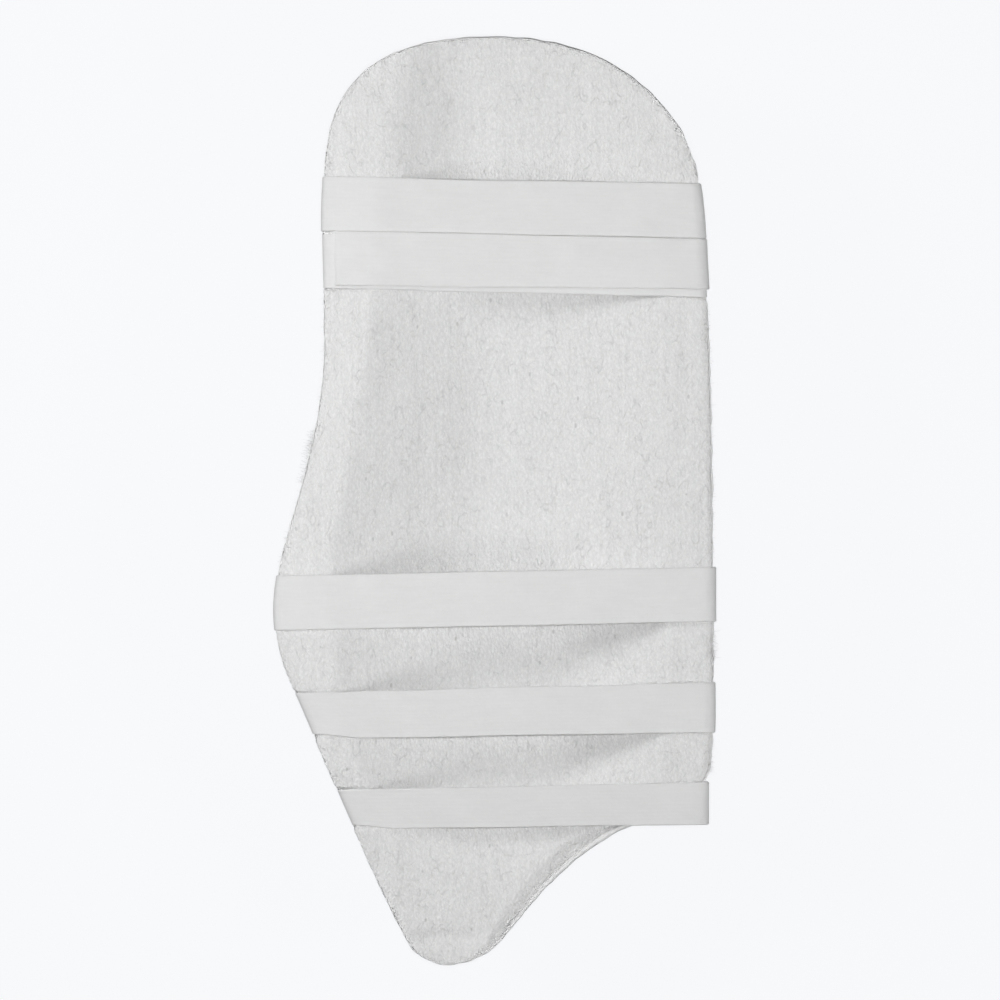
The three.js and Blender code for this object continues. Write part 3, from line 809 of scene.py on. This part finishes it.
# elastic straps
def strapLines(band, leftY, rightY, offset, shares):
    # lines along a strap, one for each share of its width: up from the outer face on the left, over the
    # front as the highest chord of the face below it, less the sag, and down round the right side
    left, right = band["left"], band["right"]
    straightY = leftY + shares * left["width"]
    drawnUp = band.get("corner", 0) * np.clip(0.5 - shares, 0, 1) ** 2
    foldY = {"left": straightY + drawnUp, "right": rightY + shares * right["width"]}
    edges = {side: sideAt(foldY[side], side) for side in foldY}
    if "freeX" in right:
        edges["right"] = [np.full(len(shares), right["freeX"]), np.ones(len(shares)), np.ones(len(shares))]
    lift = {side: offset - band[side]["press"] for side in foldY}
    ends = {side: edges[side][0] - edges[side][2] / edges[side][1] for side in edges}
    t = np.linspace(0, 1, strapForm["chordPoints"])
    x = blend(ends["left"][:, None], ends["right"][:, None], t)
    corner = drawnUp[:, None] * (1 - easeStep(0, strapForm["cornerRun"], t))
    y = blend(straightY[:, None], foldY["right"][:, None], t) + corner
    stray, wave, seed = strapForm["wander"]
    y = y + stray * rumple(x, 2 * y, wave, seed) * np.sin(np.pi * t)
    z = faceHeight(x, y) + blend(lift["left"], lift["right"], t)
    gap = np.maximum(t[None, :] - t[:, None], 1e-9)
    taut = z.copy()
    for k in range(1, len(t) - 1):
        share = (t[k] - t[:k, None]) / gap[:k, k:]
        chord = z[:, :k, None] + (z[:, None, k:] - z[:, :k, None]) * share
        taut[:, k] = np.maximum(z[:, k], chord.max((1, 2)))
    sag = band.get("sag", 0) * np.sin(np.pi * t) ** 2
    front = np.dstack([x, y, np.maximum(z, taut - sag)])
    depth = padForm["rollDepth"]
    angle = np.linspace(0, np.pi, strapForm["foldPoints"])[None]
    tuckShare = np.linspace(*strapForm["tuckShares"])[None]
    parts = {}
    for side, middleY, inward in (("left", leftY, 1), ("right", rightY, -1)):
        edgeX, slope, roll = (value[:, None] for value in edges[side])
        sideY = foldY[side][:, None]
        top = faceHeight(ends[side], foldY[side])[:, None]
        bottom = backHeight(edgeX - depth / slope, sideY)
        inset, wrapZ = rollAt(angle, roll, top, bottom, lift[side])
        middleX = band[side].get("freeX", float(sideAt(middleY, side)[0]))
        tuckX = blend(edgeX - depth / slope, middleX + band[side]["tuck"] * inward, tuckShare)
        tuckZ = backHeight(tuckX, sideY + 0 * tuckX) - padForm["underSlant"] * lift[side]
        endDrop = band[side].get("endDrop", 0)
        tuckZ -= endDrop * (0.5 + shares[:, None]) * easeStep(*strapForm["endRun"], tuckShare)
        allX = np.hstack([edgeX - inset / slope, tuckX])
        parts[side] = np.dstack([allX, sideY + 0 * allX, np.hstack([wrapZ, tuckZ])])
    return parts["left"][:, ::-1], front, parts["right"]


def evenOut(lines, spacing, passes):
    # points at equal distances along every line, then averaged with their neighbours
    hops = np.linalg.norm(np.diff(lines, axis=1), axis=2)
    run = np.concatenate([np.zeros((len(lines), 1)), np.cumsum(hops, 1)], 1)
    count = int(round(run[:, -1].mean() / spacing))
    shares = np.linspace(0, 1, count + 1)
    even = []
    for distance, line in zip(run, lines):
        at = shares * distance[-1]
        even.append(np.stack([np.interp(at, distance, line[:, k]) for k in range(3)], 1))
    even = np.stack(even)
    for _ in range(passes):
        even[:, 1:-1] = (even[:, :-2] + 2 * even[:, 1:-1] + even[:, 2:]) / 4
    return even, shares * run[:, -1].mean()


def bandSurface(middle):
    # way out of the strap at every point: across it times along it
    return unit(np.cross(np.gradient(middle, axis=0), np.gradient(middle, axis=1)))


def strapPiece(band):
    # a closed band about the lines, with rounded edges and thicker selvedges; a doubled strap turns back on
    # the outer face and comes over itself to a cut end
    half = np.linspace(-1, 1, strapForm["lineCount"] + 1)
    shares = -0.5 * blend(half, np.sin(half * np.pi / 2), strapForm["lineCrowd"])
    offset = strapForm["clearance"] + strapForm["thickness"] / 2
    lines = np.hstack(strapLines(band, band["left"]["y"], band["right"]["y"], offset, shares))
    if "over" in band:
        over = band["over"]
        upper = offset + strapForm["clearance"] + strapForm["thickness"]
        _, front, right = strapLines(band, over["leftY"], over["rightY"], upper, shares)
        back = right[:, ::-1]
        middle = (lines[:, -1:] + back[:, :1]) / 2
        arm = lines[:, -1:] - middle
        sweep = np.stack([arm[..., 2], 0 * arm[..., 0], -arm[..., 0]], -1)
        angle = np.linspace(0, np.pi, strapForm["turnPoints"])[None, 1:-1, None]
        turn = middle + arm * np.cos(angle) + sweep * np.sin(angle)
        cut = []
        for row in front:
            at = np.linspace(row[-1, 0], over["endX"], strapForm["cutPoints"])
            cut.append(np.stack([np.interp(at, row[:, 0], row[:, k]) for k in range(3)], 1))
        lines = np.hstack([lines, turn, back, np.stack(cut)])
    middle, run = evenOut(lines, strapForm["spacing"], strapForm["smoothing"])
    out = bandSurface(middle)
    edgeward = np.abs(shares) * 2
    width = (band["left"]["width"] + band["right"]["width"]) / 2
    bevel = 2 * strapForm["bevel"] / width
    rounding = np.sqrt(1 - np.clip((edgeward - 1 + bevel) / bevel, 0, strapForm["bevelLimit"]) ** 2)
    extra, peak, spread = strapForm["selvedge"]
    woven = 1 + extra * np.exp(-(((edgeward - peak) / spread) ** 2))
    thick = (strapForm["thickness"] / 2 * rounding * woven)[:, None, None]
    ring = np.concatenate([middle + out * thick, (middle - out * thick)[::-1]])
    index = numbered(ring)
    around = np.vstack([index, index[:1]])
    count = len(shares)
    sides = gridQuads(around)[:, ::-1]
    outerIndex, innerIndex = index[:count], index[count:][::-1]
    caps = []
    for k in (0, -1):
        above, below = outerIndex[:, k], innerIndex[:, k]
        caps.append(np.stack([above[:-1], above[1:], below[1:], below[:-1]], -1))
    quads = np.vstack([sides, caps[0][:, ::-1], caps[1]])
    piece = makePiece(band["name"].title().replace("_", ""), ring.reshape(-1, 3), quads, wovenElastic)
    across = np.concatenate([shares, shares[::-1]]) * width
    weave = np.stack(np.broadcast_arrays(run[None], across[:, None], 0.0), -1)
    attribute = piece.data.attributes.new("weave", "FLOAT_VECTOR", "POINT")
    attribute.data.foreach_set("vector", inMetres(weave))
    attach(piece, "root")
    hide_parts(band["name"])
    return piece, middle, out, run


strapPieces = [strapPiece(band) for band in strapForm["bands"]]  # piece, middle, way out and run of each
print("straps:", [len(p[0].data.vertices) for p in strapPieces], "points")


# stitches and loose loops
def threadPiece(name, paths, radius, reference, material):
    # a four-sided round profile carried along every path at once; paths are copies, points, xyz
    ahead = unit(np.gradient(paths, axis=1))
    side = unit(np.cross(ahead, reference[:, None]))
    lift = np.cross(side, ahead)
    turn = np.arange(4) * np.pi / 2
    ring = side[:, :, None] * np.cos(turn)[:, None] + lift[:, :, None] * np.sin(turn)[:, None]
    points = paths[:, :, None] + ring * radius[..., None, None]
    index = numbered(points)
    near, far = index[:, :-1], index[:, 1:]
    walls = np.stack([near, far, np.roll(far, -1, 2), np.roll(near, -1, 2)], -1).reshape(-1, 4)
    quads = np.vstack([walls, index[:, 0], index[:, -1, ::-1]])
    return makePiece(name, points.reshape(-1, 3), quads, material)


# in both kinds of stitch, taper is the thickness along a stitch, as shares of its radius
seamForm = {
    "pitch": 3.4,
    "length": 2.3,
    "radius": 0.2,
    "inset": -0.1,  # from the towelling's border
    "sink": 0.7,
    "arch": 0.5,
    "taper": (0.5, 0.95, 1, 1, 0.95, 0.5),
}


def stitchShares(count, form):
    # shares of the way along a line at which the points of each stitch lie; a row for each stitch
    within = np.linspace(-0.5, 0.5, len(form["taper"])) * form["length"] / form["pitch"]
    return (np.arange(count)[:, None] + 0.5 + within) / count


def stitchArch(form):
    return form["arch"] * np.cos(np.linspace(-np.pi / 2, np.pi / 2, len(form["taper"])))


def stitchRadius(count, form):
    return form["radius"] * np.tile(form["taper"], (count, 1))


def outlineAt(run):
    # x, y, way out x, way out y, rolled edge and drop at given distances along the outline
    columns = (0, 1, 2, 3, rollColumn, dropColumn)
    return [np.interp(run, outline[:, runColumn], outline[:, k]) for k in columns]


def seamStitches():
    # a thread end to end along the towelling's border, dipping under between stitches
    total = outline[-1, runColumn]
    count = int(total / seamForm["pitch"])
    x, y, wayX, wayY, roll, drop = outlineAt(stitchShares(count, seamForm) * total)
    dent = strapDent(x, y)
    inset = roll + seamForm["inset"] + dent
    x, y = x - wayX * inset, y - wayY * inset
    z = faceHeight(x, y) - drop - seamForm["sink"] - dent + stitchArch(seamForm)
    up = np.tile([0.0, 0.0, 1.0], (count, 1))
    radius = stitchRadius(count, seamForm)
    return threadPiece("seamStitches", np.dstack([x, y, z]), radius, up, sewingThread)


seam = seamStitches()
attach(seam, "root")
print("seam:", len(seam.data.polygons), "faces")

boxForm = {
    "from": 3,  # distances from the strap's end
    "to": 16,
    "margin": 3,
    "pitch": 3,
    "length": 2.1,
    "radius": 0.2,
    "sink": 0.08,
    "arch": 0.22,
    "taper": (0.5, 0.95, 1, 0.95, 0.5),
}


def boxPath(width):
    # a square of stitching with a cross in it near a strap's end: start and end of each stitch line,
    # as distance from the end and distance from the middle line
    near, far, side = boxForm["from"], boxForm["to"], width / 2 - boxForm["margin"]
    corners = np.array([(near, -side), (far, -side), (far, side), (near, side)], float)
    return np.concatenate([
        np.stack([corners, np.roll(corners, -1, 0)], 1), np.stack([corners[:2], corners[2:]], 1)])


def stitchesOn(middle, out, run, width, atEnd):
    # stitches along the box's lines, carried to the strap's outer side
    ways = []
    for start, end in boxPath(width):
        count = int(np.linalg.norm(end - start) / boxForm["pitch"])
        ways.append(start + (end - start) * stitchShares(count, boxForm)[..., None])
    flat = np.concatenate(ways)
    along = np.interp(flat[..., 0], run, np.arange(len(run)))
    along = len(run) - 1 - along if atEnd else along
    across = (flat[..., 1] / width + 0.5) * (len(middle) - 1)
    near = np.floor(along).astype(int).clip(0, len(run) - 2)
    low = np.floor(across).astype(int).clip(0, len(middle) - 2)
    u, v = (along - near)[..., None], (across - low)[..., None]
    place, way = (
        blend(blend(g[low, near], g[low, near + 1], u), blend(g[low + 1, near], g[low + 1, near + 1], u), v)
        for g in (middle, out))
    height = strapForm["thickness"] / 2 - boxForm["sink"] + stitchArch(boxForm)
    return place + way * height[None, :, None], way[:, 2]


def boxStitches():
    # a box at every end that is sewn down: all but the free end of the doubled strap
    found = []
    for band, (_, middle, out, run) in zip(strapForm["bands"], strapPieces):
        found.append(stitchesOn(middle, out, run, band["left"]["width"], False))
        if "over" not in band:
            found.append(stitchesOn(middle, out, run, band["right"]["width"], True))
    paths, ways = (np.concatenate(part) for part in zip(*found))
    return threadPiece("boxStitches", paths, stitchRadius(len(paths), boxForm), ways, sewingThread)


boxes = boxStitches()
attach(boxes, "root")
print("box stitches:", len(boxes.data.polygons), "faces")

mostCover = 0.5  # share of a strap's hold beyond which no loop or fibre stands
fluffForm = {
    "count": 1500,
    "height": 0.9,
    "width": 1.1,
    "heightShares": (0.6, 1.3),
    "widthShares": (0.6, 1.2),
    "radius": 0.13,
    "inside": (0.3, 2.6),  # distance from the towelling's border
    "sink": 0.7,
    "lean": (0.1, 0.9),  # outward, as shares of the rise
    "points": 7,
    "seed": 5,
}


def fluffLoops():
    # small arches of pile yarn standing out of the towelling along its border
    rng = np.random.default_rng(fluffForm["seed"])
    count = fluffForm["count"]
    x, y, wayX, wayY, roll, drop = outlineAt(rng.uniform(0, outline[-1, runColumn], count))
    inside = rng.uniform(*fluffForm["inside"], count)
    inset = roll + inside + strapDent(x, y)
    x, y = x - wayX * inset, y - wayY * inset
    keep = strapCover(x, y) < mostCover
    x, y, wayX, wayY, drop, inside = (value[keep] for value in (x, y, wayX, wayY, drop, inside))
    count = len(x)
    fall = edgeFall(drop, inside) + gutterFall(x, y, inside)
    base = np.stack([x, y, faceHeight(x, y) - fall - fluffForm["sink"]], 1)[:, None]
    spin = rng.uniform(0, 2 * np.pi, count)
    along = np.stack([np.cos(spin), np.sin(spin), 0 * spin], 1)
    lean = rng.uniform(*fluffForm["lean"], count)
    reach = unit(np.stack([wayX * lean, wayY * lean, np.ones(count)], 1))
    angle = np.linspace(0, np.pi, fluffForm["points"])[None, :, None]
    tall = fluffForm["height"] * rng.uniform(*fluffForm["heightShares"], count)[:, None, None]
    wide = fluffForm["width"] * rng.uniform(*fluffForm["widthShares"], count)[:, None, None]
    paths = base + along[:, None] * wide / 2 * np.cos(angle) + reach[:, None] * tall * np.sin(angle)
    radius = np.full((count, fluffForm["points"]), fluffForm["radius"])
    return threadPiece("pileLoops", paths, radius, np.cross(along, reach), terry)


fibreForm = {
    "seed": 9,
    "radius": 0.07,
    "taper": (1, 0.6),  # shares of the radius at the root and at the tip
    "points": 7,
    "root": 1.2,  # how far inside the border a fibre starts
    "depth": (0.6, 2.6),  # and how far below the face
    "rise": (-0.2, 0.6),  # upward, as shares of the way out
    "lengths": (0.2, 1),  # shares of the longest, before the power
    "lengthPower": 1.5,  # above 1 there are more short fibres
    "curl": (0.2, 0.9),
    "bend": 0.8,
    "across": (0.1, 0.2, 1.0),  # a way that no fibre runs along
    "tufts": [  # side, y from, y to, fibres, longest
        ("left", 8, 32, 130, 3.4),
        ("right", -73, -56, 90, 1.8),
        ("right", -126, -119, 40, 1.4),
        ("left", -40, 150, 220, 0.9),
        ("right", -120, 150, 260, 0.9),
    ],
}


def looseFibres():
    # fine curled hairs that stand out from the towelling's border at the sides, each a bow that bends
    # further as it goes
    rng = np.random.default_rng(fibreForm["seed"])
    paths = []
    root = fibreForm["root"]
    t = np.linspace(0, 1, fibreForm["points"])[None, :, None]
    for side, low, high, count, longest in fibreForm["tufts"]:
        y = rng.uniform(low, high, count)
        rail = leftRail if side == "left" else rightRail
        x, wayX, wayY = (np.interp(y, rail[:, 1], rail[:, k]) for k in (0, 2, 3))
        out = np.stack([wayX, wayY, rng.uniform(*fibreForm["rise"], count)], 1)
        z = faceHeight(x - wayX, y - wayY) - rng.uniform(*fibreForm["depth"], count) - strapDent(x, y)
        base = np.stack([x - wayX * root, y - wayY * root, z], 1)
        share = rng.uniform(*fibreForm["lengths"], count) ** fibreForm["lengthPower"]
        length = (root + longest * share)[:, None, None]
        bend = unit(rng.normal(size=(count, 3)))
        curl = rng.uniform(*fibreForm["curl"], count)[:, None, None]
        bow = bend[:, None] * curl * t**2 * fibreForm["bend"]
        path = base[:, None] + length * (unit(out)[:, None] * t + bow)
        paths.append(path[strapCover(x, y) < mostCover])
    paths = np.concatenate(paths)
    taper = np.linspace(*fibreForm["taper"], fibreForm["points"])
    radius = fibreForm["radius"] * np.tile(taper, (len(paths), 1))
    across = np.tile(fibreForm["across"], (len(paths), 1))
    return threadPiece("looseFibres", paths, radius, across, terry)


pileLoops = fluffLoops()
fibres = looseFibres()
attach(fibres, "root")
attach(pileLoops, "root")
print("pile loops:", len(pileLoops.data.polygons), "faces")

# studio
studio = {
    "lens": 313.8,
    "sensor": 36,
    "cameraAt": (0.00273, 0.00023, 4.0),
    "floorHalf": 3000,  # half its side, in mm
    "floorDrop": 0.3,  # below the pad, in mm
    "floorBase": (0.05, 0.05, 0.05),
    "floorTone": (0.937, 0.946, 0.963),
    "floorGlow": 0.95,
    "lights": [  # name, place, point it faces, width, height, spread in degrees, power
        ("front", (0.003, 0, 2.4), (-0.14, 0.08, 0), 0.16, 0.16, 70, 5.7),
        ("lowerRight", (2.69, -0.77, 1.08), (0, 0, 0), 0.8, 0.4, 180, 28),
        ("upperLeft", (-2.68, 0.92, 0.98), (0, 0, 0), 0.9, 0.45, 180, 46),
    ],
    "sky": 0.02,
}


def softLight(name, place, aim, width, height, spread, power):
    # oblong light turned towards a point
    lamp = bpy.data.lights.new(name, "AREA")
    lamp.shape = "RECTANGLE"
    lamp.size = width
    lamp.size_y = height
    lamp.spread = np.radians(spread)
    lamp.energy = power
    light = bpy.data.objects.new(name, lamp)
    light.location = place
    way = np.array(aim) - np.array(place)
    tilt = np.arctan2(np.hypot(way[0], way[1]), -way[2])
    light.rotation_euler = (tilt, 0, np.arctan2(way[0], -way[1]) + np.pi)
    bpy.context.scene.collection.objects.link(light)


def floorMaterial():
    # pale floor, nearly all lit from within so that no hard shadow shows on it
    inputs = {
        "Base Color": (*studio["floorBase"], 1),
        "Roughness": 1.0,
        "Specular IOR Level": 0.0,
        "Emission Color": (*studio["floorTone"], 1),
        "Emission Strength": studio["floorGlow"],
    }
    return newMaterial("paleFloor", inputs)[0]


def makeStudio():
    half, drop = studio["floorHalf"], studio["floorDrop"]
    signs = np.array([(-1, -1), (1, -1), (1, 1), (-1, 1)], float)
    corners = np.column_stack([signs * half, np.full(len(signs), -drop)])
    floor = makePiece("floor", corners, np.array([[0, 1, 2, 3]]), floorMaterial())
    floor.visible_diffuse = False  # the floor throws no light back onto the pad
    camera = bpy.data.objects.new("camera", bpy.data.cameras.new("camera"))
    camera.data.lens = studio["lens"]
    camera.data.sensor_width = studio["sensor"]
    camera.location = studio["cameraAt"]
    bpy.context.scene.collection.objects.link(camera)
    bpy.context.scene.camera = camera
    for light in studio["lights"]:
        softLight(*light)
    world = bpy.data.worlds.new("studioSky")
    world.use_nodes = True
    background = world.node_tree.nodes["Background"]
    background.inputs["Color"].default_value = (1, 1, 1, 1)
    background.inputs["Strength"].default_value = studio["sky"]
    bpy.context.scene.world = world
    bpy.context.scene.view_settings.view_transform = "Standard"


makeStudio()
print("studio set")
